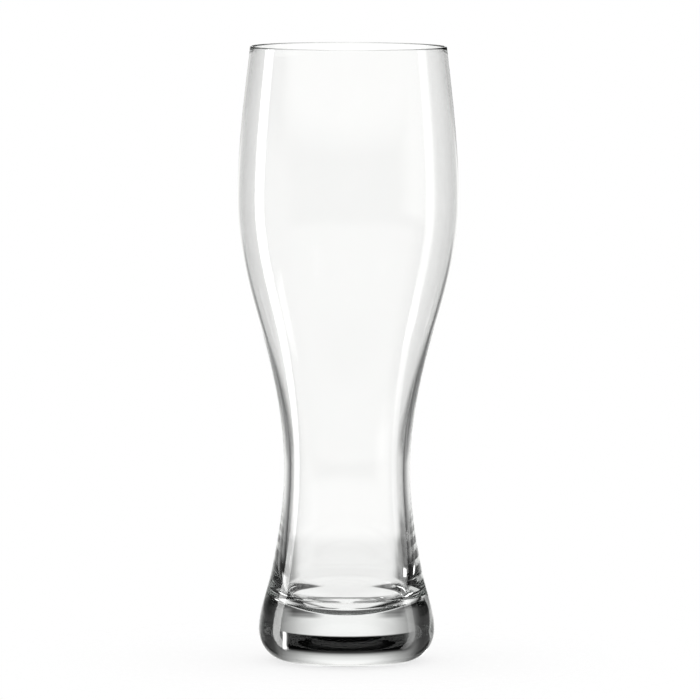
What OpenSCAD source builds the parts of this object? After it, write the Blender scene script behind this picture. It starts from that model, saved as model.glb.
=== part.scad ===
// Tall wheat beer glass: a thin blown bowl on a heavy solid foot, fused face to face.
// Origin: middle of the resting ring, on the table. The glass stands along +Z.

/* [Outline of the glass] */
// Height from the table to the top of the rim
glass_h = 235; // [200:1:270]
// Radius over the rim
rim_r = 37.6; // [34:0.1:41]
// Slope of the upper wall at the rim, radius lost per unit of height
rim_slope = 0.12; // [0.02:0.01:0.25]
// Height of the widest part of the belly
belly_z = 176; // [165:1:188]
// Radius over the belly
belly_r = 42.3; // [40:0.1:46]
// Height at which the wall between waist and belly opens fastest
shoulder_z = 129; // [120:1:138]
// Radius there
shoulder_r = 33.6; // [31:0.1:36]
// Slope there, radius gained per unit of height
shoulder_slope = 0.3; // [0.2:0.01:0.36]
// Height of the waist
waist_z = 73.5; // [66:0.5:80]
// Radius over the waist
waist_r = 24.15; // [23:0.05:26]
// Height at which the flare above the foot opens fastest
flare_z = 34.5; // [30:0.5:40]
// Radius there
flare_r = 28.8; // [27:0.1:30.5]
// Slope there, radius lost per unit of height
flare_slope = 0.205; // [0.12:0.005:0.26]
// Radius over the widest part of the foot
foot_r = 33.6; // [32:0.1:36]

/* [Walls of the bowl] */
// Wall at the rim, which is rounded over its full thickness
rim_wall = 1.2; // [0.9:0.1:1.8]
// Wall at the belly
belly_wall = 1.1; // [0.9:0.1:1.8]
// Wall at the shoulder
shoulder_wall = 1.3; // [1:0.1:2.2]
// Wall at the waist
waist_wall = 2.7; // [2:0.1:4]
// Radius of the hollow where its round bottom starts
hollow_r = 24; // [20:0.1:25.5]
// Height of the lowest point of the inner floor
floor_z = 16; // [14:0.1:22]
// Radius of the shallow dish of the inner floor
floor_dish_r = 45; // [30:0.5:90]
// Radius of the round between inner floor and wall
floor_round = 7; // [2:0.5:12]

/* [Foot] */
// Height at which the foot is widest: the top of its round lower edge, and the fused joint
foot_edge_h = 12; // [8:0.5:13.5]
// How far the round lower edge draws in, down to the resting ring
foot_edge_w = 11; // [6:0.5:13]
// Width of the flat ring on which the glass stands
rest_ring_w = 4.6; // [2:0.1:12]
// Depth of the shallow hollow in the underside
punt_h = 0.8; // [0.3:0.1:4]

/* [Hidden] */

// Steps in each stretch of an outline, and around the glass
stretch_steps = 18;
round_steps = 12;
$fn = 128;

joint_z = foot_edge_h;
rim_round = rim_wall / 2;
wall_top_z = glass_h - rim_round;
rest_r = foot_r - foot_edge_w;
punt_r = rest_r - rest_ring_w;
clear_glass = [0.86, 0.9, 0.92, 0.4];

// The round of the inner floor touches the dish at dish_angle and the wall at height hollow_z
round_r = hollow_r - floor_round;
dish_arm = floor_dish_r - floor_round;
dish_angle = asin(round_r / dish_arm);
dish_z = floor_z + floor_dish_r;
hollow_z = dish_z - dish_arm * cos(dish_angle);

// Radius at height z on the smooth curve between two stations [height, radius, slope]
function between(a, b, z) =
    let(
        span = b[0] - a[0],
        t = (z - a[0]) / span,
        s = 1 - t
    )
    s * s * (1 + 2 * t) * a[1] + t * t * (1 + 2 * s) * b[1]
    + span * t * s * (s * a[2] - t * b[2]);

// Radius at height z on the curve through a whole row of stations
function along(row, z, i = 0) =
    i >= len(row) - 2 || z <= row[i + 1][0]
        ? between(row[i], row[i + 1], z)
        : along(row, z, i + 1);

// Points of that curve from height z0 up to height z1, shared out over its stretches
function run(row, z0, z1) =
    let(breaks = concat([z0], [for (s = row) if (s[0] > z0 && s[0] < z1) s[0]], [z1]))
    concat(
        [for (i = [0 : len(breaks) - 2], k = [0 : stretch_steps - 1])
            let(z = breaks[i] + (breaks[i + 1] - breaks[i]) * k / stretch_steps)
            [along(row, z), z]],
        [[along(row, z1), z1]]
    );

function reversed(points) = [for (i = [len(points) - 1 : -1 : 0]) points[i]];

// Arc of an ellipse about c, with half axes w and h, from angle a0 to angle a1
function arc(c, w, h, a0, a1) =
    [for (k = [0 : round_steps])
        let(a = a0 + (a1 - a0) * k / round_steps)
        [c[0] + w * cos(a), c[1] + h * sin(a)]];

outside = [
    [foot_edge_h, foot_r, 0],
    [flare_z, flare_r, -flare_slope],
    [waist_z, waist_r, 0],
    [shoulder_z, shoulder_r, shoulder_slope],
    [belly_z, belly_r, 0],
    [wall_top_z, rim_r, -rim_slope]
];

inside = [
    [hollow_z, hollow_r, 0],
    [waist_z, waist_r - waist_wall, 0],
    [shoulder_z, shoulder_r - shoulder_wall, shoulder_slope],
    [belly_z, belly_r - belly_wall, 0],
    [wall_top_z, rim_r - rim_wall, -rim_slope]
];

// Hollow vessel: flat joint face, flare and outer wall, round rim, inner wall, dished inner floor
module bowl() {
    color(clear_glass)
        rotate_extrude()
            polygon(concat(
                [[0, joint_z]],
                run(outside, joint_z, wall_top_z),
                arc([rim_r - rim_round, wall_top_z], rim_round, rim_round, 0, 180),
                reversed(run(inside, hollow_z, wall_top_z)),
                arc([round_r, hollow_z], floor_round, floor_round, 0, dish_angle - 90),
                arc([0, dish_z], floor_dish_r, floor_dish_r, dish_angle - 90, -90)
            ));
}

// Solid heavy disc: shallow hollow underside, flat resting ring, round lower edge, flat joint face
module foot() {
    color(clear_glass)
        rotate_extrude()
            polygon(concat(
                [[0, joint_z]],
                reversed(arc([0, 0], punt_r, punt_h, 0, 90)),
                arc([rest_r, foot_edge_h], foot_edge_w, foot_edge_h, -90, 0)
            ));
}

bowl();
foot();
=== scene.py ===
"""Tall wheat beer glass on a pale table, seen as in the reference photograph.

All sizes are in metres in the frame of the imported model: the glass stands on z = 0 along +Z.
"""

import math

import bpy
from mathutils import Matrix, Vector


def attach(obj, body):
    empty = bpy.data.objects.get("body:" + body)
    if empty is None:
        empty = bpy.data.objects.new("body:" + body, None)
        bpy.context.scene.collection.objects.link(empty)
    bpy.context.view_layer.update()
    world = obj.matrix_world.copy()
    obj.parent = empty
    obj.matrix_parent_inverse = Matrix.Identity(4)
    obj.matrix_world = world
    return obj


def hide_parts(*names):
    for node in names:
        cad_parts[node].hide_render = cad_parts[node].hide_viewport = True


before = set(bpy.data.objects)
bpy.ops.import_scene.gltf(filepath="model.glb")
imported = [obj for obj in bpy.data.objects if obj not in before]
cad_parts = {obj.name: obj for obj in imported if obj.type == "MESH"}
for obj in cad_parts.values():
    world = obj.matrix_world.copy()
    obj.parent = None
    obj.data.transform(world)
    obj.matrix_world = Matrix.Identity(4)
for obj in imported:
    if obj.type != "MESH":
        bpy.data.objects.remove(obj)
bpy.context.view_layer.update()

MM = 0.001

# Outline of the glass, in millimetres

GLASS_H = 235.0
RIM_R, RIM_SLOPE = 37.6, 0.12
BELLY_Z, BELLY_R = 176.0, 42.3
SHOULDER_Z, SHOULDER_R, SHOULDER_SLOPE = 129.0, 33.6, 0.3
WAIST_Z, WAIST_R = 73.5, 24.15
FLARE_Z, FLARE_R, FLARE_SLOPE = 34.5, 28.8, 0.205
FOOT_R, FOOT_EDGE_H, FOOT_EDGE_W = 33.6, 12.0, 11.0
REST_RING_W, PUNT_H = 4.6, 0.8
RIM_WALL, BELLY_WALL, SHOULDER_WALL, WAIST_WALL = 1.2, 1.1, 1.3, 2.7
HOLLOW_R, FLOOR_Z, FLOOR_ROUND, FLOOR_DISH_R = 24.0, 16.0, 7.0, 45.0

ROUND_SEGMENTS = 192
STRETCH_STEPS = 22

# Table and camera, in metres, apart from the lens, and the camera's roll in degrees

TABLE_R, TABLE_DROP, TABLE_SEGMENTS = 0.4, 0.0002, 96
SHADOW_R, FADE_R = 0.06, 0.14
CAMERA_X, CAMERA_BACK, CAMERA_Z, AIM_Z = 0.00095, 3.0, 0.3581, 0.119
CAMERA_ROLL = 0.19
SENSOR_MM, LENS_MM = 36.0, 405.5

# Light

LIGHT_BOUNCES = 512
SLANT = 0.155

# Derived sizes of the outline

RIM_ROUND = RIM_WALL / 2
WALL_TOP_Z = GLASS_H - RIM_ROUND
DISH_ARM = FLOOR_DISH_R - FLOOR_ROUND
CORNER_R = HOLLOW_R - FLOOR_ROUND
HOLLOW_Z = FLOOR_Z + FLOOR_DISH_R - math.sqrt(DISH_ARM ** 2 - CORNER_R ** 2)
DISH_ANGLE = math.degrees(math.asin(CORNER_R / DISH_ARM))
REST_R = FOOT_R - FOOT_EDGE_W
PUNT_R = REST_R - REST_RING_W

OUTSIDE = [
    (FOOT_EDGE_H, FOOT_R, 0.0),
    (FLARE_Z, FLARE_R, -FLARE_SLOPE),
    (WAIST_Z, WAIST_R, 0.0),
    (SHOULDER_Z, SHOULDER_R, SHOULDER_SLOPE),
    (BELLY_Z, BELLY_R, 0.0),
    (WALL_TOP_Z, RIM_R, -RIM_SLOPE),
]
INSIDE = [
    (HOLLOW_Z, HOLLOW_R, 0.0),
    (WAIST_Z, WAIST_R - WAIST_WALL, 0.0),
    (SHOULDER_Z, SHOULDER_R - SHOULDER_WALL, SHOULDER_SLOPE),
    (BELLY_Z, BELLY_R - BELLY_WALL, 0.0),
    (WALL_TOP_Z, RIM_R - RIM_WALL, -RIM_SLOPE),
]


def run(row):
    """Points (radius, height) of the smooth curve through a row of stations (height, radius, slope)."""
    points = []
    for (z0, r0, m0), (z1, r1, m1) in zip(row, row[1:]):
        span = z1 - z0
        for k in range(STRETCH_STEPS):
            t = k / STRETCH_STEPS
            s = 1 - t
            r = s * s * (1 + 2 * t) * r0 + t * t * (1 + 2 * s) * r1 + span * t * s * (s * m0 - t * m1)
            points.append((r, z0 + span * t))
    return points + [(row[-1][1], row[-1][0])]


def arc(centre, w, h, a0, a1, steps):
    """Points of an elliptic arc about centre (radius, height), from angle a0 to a1."""
    angles = [math.radians(a0 + (a1 - a0) * k / steps) for k in range(steps + 1)]
    return [(centre[0] + w * math.cos(a), centre[1] + h * math.sin(a)) for a in angles]


def section():
    """The whole closed section, from the middle of the underside round the outside to the inner floor."""
    dish_centre = (0.0, FLOOR_Z + FLOOR_DISH_R)
    rows = [
        arc((0.0, 0.0), PUNT_R, PUNT_H, 90, 0, 24),
        arc((REST_R, FOOT_EDGE_H), FOOT_EDGE_W, FOOT_EDGE_H, -90, 0, 22),
        run(OUTSIDE),
        arc((RIM_R - RIM_ROUND, WALL_TOP_Z), RIM_ROUND, RIM_ROUND, 0, 180, 12),
        run(INSIDE)[::-1],
        arc((CORNER_R, HOLLOW_Z), FLOOR_ROUND, FLOOR_ROUND, 0, DISH_ANGLE - 90, 12),
        arc(dish_centre, FLOOR_DISH_R, FLOOR_DISH_R, DISH_ANGLE - 90, -90, 20),
    ]
    points = []
    for row in rows:
        for r, z in row:
            if not points or math.hypot(r - points[-1][0], z - points[-1][1]) > 1e-4:
                points.append((r, z))
    points[0] = (0.0, PUNT_H)
    points[-1] = (0.0, FLOOR_Z)
    return points


def turned(name, points):
    """Closed mesh of revolution with its UVs: around the glass and along the section."""
    run_length = [0.0]
    for a, b in zip(points, points[1:]):
        run_length.append(run_length[-1] + math.hypot(b[0] - a[0], b[1] - a[1]))
    verts, rings = [], []
    for r, z in points:
        if r < 1e-6:
            rings.append([len(verts)] * ROUND_SEGMENTS)
            verts.append((0.0, 0.0, z * MM))
            continue
        rings.append(list(range(len(verts), len(verts) + ROUND_SEGMENTS)))
        for k in range(ROUND_SEGMENTS):
            a = 2 * math.pi * k / ROUND_SEGMENTS
            verts.append((r * math.cos(a) * MM, r * math.sin(a) * MM, z * MM))
    faces, uvs = [], []
    for i in range(len(points) - 1):
        lo, hi = rings[i], rings[i + 1]
        v0, v1 = run_length[i] / run_length[-1], run_length[i + 1] / run_length[-1]
        for k in range(ROUND_SEGMENTS):
            k1 = (k + 1) % ROUND_SEGMENTS
            u0, u1 = k / ROUND_SEGMENTS, (k + 1) / ROUND_SEGMENTS
            corners = [(lo[k], (u0, v0)), (lo[k1], (u1, v0)), (hi[k1], (u1, v1)), (hi[k], (u0, v1))]
            seen, face, uv = set(), [], []
            for vert, place in corners:
                if vert not in seen:
                    seen.add(vert)
                    face.append(vert)
                    uv.append(place)
            faces.append(face)
            uvs.extend(uv)
    mesh = bpy.data.meshes.new(name)
    mesh.from_pydata(verts, [], faces)
    layer = mesh.uv_layers.new(name="around_and_along")
    for loop, place in zip(layer.data, uvs):
        loop.uv = place
    mesh.polygons.foreach_set("use_smooth", [True] * len(mesh.polygons))
    mesh.update()
    piece = bpy.data.objects.new(name, mesh)
    bpy.context.scene.collection.objects.link(piece)
    return piece


# Small node helpers

def add(tree, kind, **values):
    """A node of that kind. Attributes by name, inputs by their index as i0, i1, ..."""
    node = tree.nodes.new(kind)
    for key, value in values.items():
        if key[0] == "i" and key[1:].isdigit():
            node.inputs[int(key[1:])].default_value = value
        else:
            setattr(node, key, value)
    return node


def sums(tree, operation, a, b=None, c=None, clamp=False):
    """A Math node. Each operand is a socket or a number."""
    node = add(tree, "ShaderNodeMath", operation=operation, use_clamp=clamp)
    for slot, value in zip(node.inputs, (a, b, c)):
        if value is None:
            continue
        if isinstance(value, (int, float)):
            slot.default_value = value
        else:
            tree.links.new(value, slot)
    return node.outputs[0]


def ramp(tree, source, low, high, stops):
    """Grey value at source on straight lines between stops (place, value), places from low to high."""
    mapped = add(tree, "ShaderNodeMapRange", i1=low, i2=high, i3=0.0, i4=1.0)
    tree.links.new(source, mapped.inputs[0])
    node = add(tree, "ShaderNodeValToRGB")
    ends = node.color_ramp.elements
    while len(ends) > 1:
        ends.remove(ends[-1])
    top = max(1.0, max(v for _, v in stops))
    for k, (place, value) in enumerate(stops):
        at = (place - low) / (high - low)
        stop = ends[0] if k == 0 else ends.new(at)
        stop.position = at
        stop.color = (value / top, value / top, value / top, 1.0)
    tree.links.new(mapped.outputs[0], node.inputs[0])
    return sums(tree, "MULTIPLY", node.outputs[0], top)


# Materials

def clear_glass():
    """Clear soda-lime glass: faint waves of the blown wall, a finely worn resting ring."""
    mat = bpy.data.materials.new("clear_glass")
    mat.use_nodes = True
    tree = mat.node_tree
    shader = tree.nodes["Principled BSDF"]
    output = tree.nodes["Material Output"]
    shader.inputs["Base Color"].default_value = (1.0, 1.0, 1.0, 1.0)
    shader.inputs["Transmission Weight"].default_value = 1.0
    shader.inputs["IOR"].default_value = 1.52
    shader.inputs["Roughness"].default_value = 0.0

    place = add(tree, "ShaderNodeTexCoord")
    split = add(tree, "ShaderNodeSeparateXYZ")
    tree.links.new(place.outputs["Object"], split.inputs[0])

    waves = add(tree, "ShaderNodeTexNoise")
    waves.inputs["Scale"].default_value = 38.0
    waves.inputs["Detail"].default_value = 1.0
    stretched = add(tree, "ShaderNodeMapping")
    stretched.inputs["Scale"].default_value = (1.0, 1.0, 0.35)
    tree.links.new(place.outputs["Object"], stretched.inputs[0])
    tree.links.new(stretched.outputs[0], waves.inputs["Vector"])
    bump = add(tree, "ShaderNodeBump")
    bump.inputs["Strength"].default_value = 0.35
    bump.inputs["Distance"].default_value = 0.00006
    tree.links.new(waves.outputs[0], bump.inputs["Height"])
    tree.links.new(bump.outputs[0], shader.inputs["Normal"])

    scratches = add(tree, "ShaderNodeTexNoise")
    scratches.inputs["Scale"].default_value = 900.0
    scratches.inputs["Detail"].default_value = 3.0
    tree.links.new(place.outputs["Object"], scratches.inputs["Vector"])
    low_down = ramp(tree, split.outputs["Z"], 0.0, 0.0004, [(0.0, 1.0), (0.0002, 0.0)])
    worn = ramp(tree, scratches.outputs[0], 0.0, 1.0, [(0.5, 0.0), (0.7, 0.1)])
    tree.links.new(sums(tree, "MULTIPLY", low_down, worn), shader.inputs["Roughness"])

    tint = add(tree, "ShaderNodeVolumeAbsorption")
    tint.inputs["Color"].default_value = (0.89, 0.90, 0.895, 1.0)
    tint.inputs["Density"].default_value = 16.0
    tree.links.new(tint.outputs[0], output.inputs["Volume"])
    return mat


def table_top():
    """Pale matt table: white near the glass with its soft shadow, running out into the white studio."""
    mat = bpy.data.materials.new("pale_table")
    mat.use_nodes = True
    tree = mat.node_tree
    tree.nodes.remove(tree.nodes["Principled BSDF"])
    output = tree.nodes["Material Output"]
    matt = add(tree, "ShaderNodeBsdfDiffuse")
    matt.inputs["Color"].default_value = (0.25, 0.25, 0.25, 1.0)
    glow = add(tree, "ShaderNodeEmission")
    glow.inputs["Color"].default_value = (1.0, 1.0, 1.0, 1.0)
    paths = add(tree, "ShaderNodeLightPath")
    seen = sums(tree, "MAXIMUM", paths.outputs["Is Camera Ray"], paths.outputs["Is Glossy Ray"])
    seen = sums(tree, "MAXIMUM", seen, paths.outputs["Is Transmission Ray"])
    tree.links.new(sums(tree, "MULTIPLY", seen, 0.762), glow.inputs["Strength"])
    both = add(tree, "ShaderNodeAddShader")
    tree.links.new(matt.outputs[0], both.inputs[0])
    tree.links.new(glow.outputs[0], both.inputs[1])
    place = add(tree, "ShaderNodeTexCoord")
    length = add(tree, "ShaderNodeVectorMath", operation="LENGTH")
    tree.links.new(place.outputs["Object"], length.inputs[0])
    wide = ramp(tree, length.outputs["Value"], 0.0, TABLE_R, [(SHADOW_R, 0.0), (FADE_R, 1.0)])
    clear = add(tree, "ShaderNodeBsdfTransparent")
    mix = add(tree, "ShaderNodeMixShader")
    tree.links.new(wide, mix.inputs[0])
    tree.links.new(both.outputs[0], mix.inputs[1])
    tree.links.new(clear.outputs[0], mix.inputs[2])
    tree.links.new(mix.outputs[0], output.inputs["Surface"])
    return mat


def studio(world):
    """White room with a soft light panel at the back, dark cloths round it and tall strip lights.

    The camera and the table see plain white. The glass shows the panel, the cloths and the strips: in
    its outer face by reflection, and otherwise through its walls and its foot.
    """
    world.use_nodes = True
    tree = world.node_tree
    tree.nodes.clear()
    output = add(tree, "ShaderNodeOutputWorld")
    paths = add(tree, "ShaderNodeLightPath")
    through = paths.outputs["Is Transmission Ray"]
    by_face = sums(tree, "SUBTRACT", 1.0, through)
    way = add(tree, "ShaderNodeTexCoord")
    unit = add(tree, "ShaderNodeVectorMath", operation="NORMALIZE")
    tree.links.new(way.outputs["Generated"], unit.inputs[0])
    split = add(tree, "ShaderNodeSeparateXYZ")
    tree.links.new(unit.outputs[0], split.inputs[0])
    x, y, z = split.outputs
    # compass: 0 is straight behind the glass in the photograph, + to the right; both in degrees
    compass = sums(tree, "MULTIPLY", sums(tree, "ARCTAN2", x, y), 180 / math.pi)
    height = sums(tree, "MULTIPLY", sums(tree, "ARCSINE", z), 180 / math.pi)

    def across(stops):
        return ramp(tree, compass, -180, 180, stops)

    def upward(stops):
        return ramp(tree, height, -90, 90, stops)

    def lit(seen, *parts):
        """The brighter of what is seen so far and the product of the parts."""
        value = parts[0]
        for part in parts[1:]:
            value = sums(tree, "MULTIPLY", value, part)
        return sums(tree, "MAXIMUM", seen, value)

    def dimmed(seen, *parts):
        """What is seen so far, less the share that the product of the parts takes away."""
        value = parts[0]
        for part in parts[1:]:
            value = sums(tree, "MULTIPLY", value, part)
        return sums(tree, "MULTIPLY", seen, sums(tree, "SUBTRACT", 1.0, value, clamp=True))

    seen = across([
        (-180, .012), (-66, .02), (-52, .025), (-47, .045), (-42, .14), (-37, .29), (-32, .43), (-27, .57),
        (-22, .77), (-17, .92), (-12, 1.03), (-6, 1.09), (6, 1.09), (12, 1.03), (17, .92), (22, .77),
        (27, .57), (32, .43), (37, .29), (42, .14), (47, .045), (52, .025), (66, .02), (180, .012),
    ])
    # the panel ends above, and the white table in front of it narrows towards the glass
    seen = dimmed(seen, upward([(30, 0), (42, .9), (62, .9), (70, 0)]),
                  across([(-50, 0), (-30, 1), (30, 1), (50, 0)]))
    seen = dimmed(seen, upward([(-62, .4), (-34, .5), (-27, 1), (-12.6, 1), (-10.6, 0)]),
                  across([(-36, 0), (-29, .6), (-14, .5), (-9, .1),
                          (9, .1), (13, .75), (29, .8), (36, 0)]))
    seen = dimmed(seen, upward([(-13, 0), (-12, 1), (-9, 1), (-7, 0)]),
                  across([(-33, 0), (-28, .5), (-20, .5), (-13, 0),
                          (10, 0), (16, .6), (28, .6), (34, 0)]))
    # painted shadow: the glass's own shade on the table close round its foot is painted into these
    # directions, so what is seen of the table there through the glass is narrower still
    seen = dimmed(seen, upward([(-60, 0), (-57, 1), (-48, 1), (-42, 0)]),
                  across([(-60, 0), (-50, .9), (-9, .9), (-6.5, 0),
                          (6.5, 0), (9, .9), (50, .9), (60, 0)]))
    seen = dimmed(seen, upward([(-34, 0), (-31, 1), (-17, 1), (-14, 0)]),
                  across([(-66, 0), (-60, .9), (-30, .9), (-24, 0),
                          (24, 0), (30, .9), (60, .9), (66, 0)]))
    # a dark gap between the lower edge of the panel and the table
    seen = dimmed(seen, upward([(4.6, 0), (4.8, 1), (7.5, 1), (8.5, .6), (10.5, .25), (16, 0)]),
                  across([(-42, 0), (-31.5, 1), (31.7, 1), (32.8, .8), (39, .85), (41, 0)]))
    # paler cloths beside the panel, in the outer face only
    seen = lit(seen, by_face,
               across([(-68, 0), (-66, .15), (-36, .15), (-34, 0),
                       (34, 0), (36, .22), (66, .22), (68, 0)]))
    # black cloths close to the foot: its sloping sides reflect what lies above a line that rises by
    # SLANT per degree aside from the middle, and the steeper sides of the bowl what lies below it
    aside = sums(tree, "ABSOLUTE", compass)
    slant = sums(tree, "SUBTRACT", height, sums(tree, "MULTIPLY", aside, SLANT))
    seen = dimmed(seen, by_face, ramp(tree, slant, -90, 90, [(-5, 0), (-4.2, 1), (20, 1), (24, 0)]),
                  across([(-64, 0), (-58, .6), (-12, .6), (-7, 0),
                          (7, 0), (10, .95), (64, .95), (68, 0)]))
    # tall strip lights, strong at the left and weak at the right, of which only the ends are bright
    # through the glass
    strips = across([(-83, 0), (-81.5, 5), (-67, 5), (-66, 0), (77, 0), (78, 1.8), (90, 1.8), (91, 0)])
    whole = upward([(-40, 0), (-36, 1), (24, 1), (30, 0)])
    ends = upward([(-12, .1), (14, .1), (16, .8), (24, .8), (30, 0)])
    tall = sums(tree, "MULTIPLY", whole, sums(tree, "MULTIPLY_ADD", through, ends, by_face))
    seen = sums(tree, "MULTIPLY_ADD", strips, tall, seen)
    # through the glass: two small lamps behind it at the right, and the pale room at the far left,
    # behind the photographer and low at the left
    seen = lit(seen, through, upward([(-25, 0), (-24.5, 3), (-20, 3), (-19.5, 0)]),
               across([(19, 0), (20, 1), (28, 1), (29, 0)]))
    seen = lit(seen, through, upward([(4, 0), (4.6, 2), (7.6, 2), (8.2, 0)]),
               across([(33.4, 0), (34, 1), (36, 1), (36.7, 0)]))
    seen = lit(seen, through, upward([(-37, 0), (-30, .9), (2, .92), (6, 0)]),
               across([(-125, 0), (-105, 1), (-81, 1), (-78, 0)]))
    seen = lit(seen, through, upward([(-44, 0), (-34, .85), (-13, .85), (-9, 0)]),
               across([(-110, 1), (-90, 0), (90, 0), (110, 1)]))
    seen = lit(seen, through, upward([(-60, 0), (-54, .85), (-22, .85), (-20, 0)]),
               across([(-66, 0), (-60, 1), (-40, 1), (-37, 0)]))
    # the white table close below, and a ceiling
    seen = lit(seen, through, upward([(-58, 1), (-40, .8), (-34, 0)]),
               across([(-75, 1), (-60, 0), (60, 0), (75, 1)]))
    seen = lit(seen, upward([(-66, 1), (-58, 0)]))
    seen = lit(seen, upward([(50, 0), (64, .3)]))

    cards = add(tree, "ShaderNodeBackground")
    cards.inputs["Color"].default_value = (0.997, 1.0, 0.99, 1.0)
    tree.links.new(seen, cards.inputs["Strength"])
    white = add(tree, "ShaderNodeBackground")
    white.inputs["Color"].default_value = (1.0, 1.0, 1.0, 1.0)
    white.inputs["Strength"].default_value = 1.0
    mix = add(tree, "ShaderNodeMixShader")
    tree.links.new(sums(tree, "MAXIMUM", paths.outputs["Is Glossy Ray"], through), mix.inputs[0])
    tree.links.new(white.outputs[0], mix.inputs[1])
    tree.links.new(cards.outputs[0], mix.inputs[2])
    tree.links.new(mix.outputs[0], output.inputs["Surface"])


# The glass

glass = turned("weizen_glass", section())
glass.data.materials.append(clear_glass())
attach(glass, "root")
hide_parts("bowl", "foot")

# Table, studio and camera

def table():
    """Thin round table top just under the glass, with its shadow; it isn't part of the object."""
    angles = [2 * math.pi * k / TABLE_SEGMENTS for k in range(TABLE_SEGMENTS)]
    edge = [(TABLE_R * math.cos(a), TABLE_R * math.sin(a), 0.0) for a in angles]
    mesh = bpy.data.meshes.new("table_top")
    mesh.from_pydata(edge, [], [list(range(TABLE_SEGMENTS))])
    piece = bpy.data.objects.new("table_top", mesh)
    piece.location = (0, 0, -TABLE_DROP)
    piece.data.materials.append(table_top())
    bpy.context.scene.collection.objects.link(piece)
    piece.visible_glossy = piece.visible_transmission = False
    return piece


def photograph_camera():
    """Long lens from above the height of the rim, aimed at the middle of the glass."""
    lens = bpy.data.cameras.new("camera")
    lens.sensor_width = SENSOR_MM
    lens.lens = LENS_MM
    lens.clip_start, lens.clip_end = 0.1, 50.0
    camera = bpy.data.objects.new("camera", lens)
    bpy.context.scene.collection.objects.link(camera)
    eye, aim = Vector((CAMERA_X, -CAMERA_BACK, CAMERA_Z)), Vector((CAMERA_X, 0.0, AIM_Z))
    look = (aim - eye).to_track_quat("-Z", "Y").to_matrix().to_4x4()
    roll = Matrix.Rotation(math.radians(CAMERA_ROLL), 4, "Z")
    camera.matrix_world = Matrix.Translation(eye) @ look @ roll
    return camera


table()

scene = bpy.context.scene
scene.world = bpy.data.worlds.new("studio")
studio(scene.world)
scene.camera = photograph_camera()
scene.view_settings.view_transform = "Standard"
scene.cycles.max_bounces = LIGHT_BOUNCES
scene.cycles.transmission_bounces = LIGHT_BOUNCES
scene.cycles.glossy_bounces = LIGHT_BOUNCES
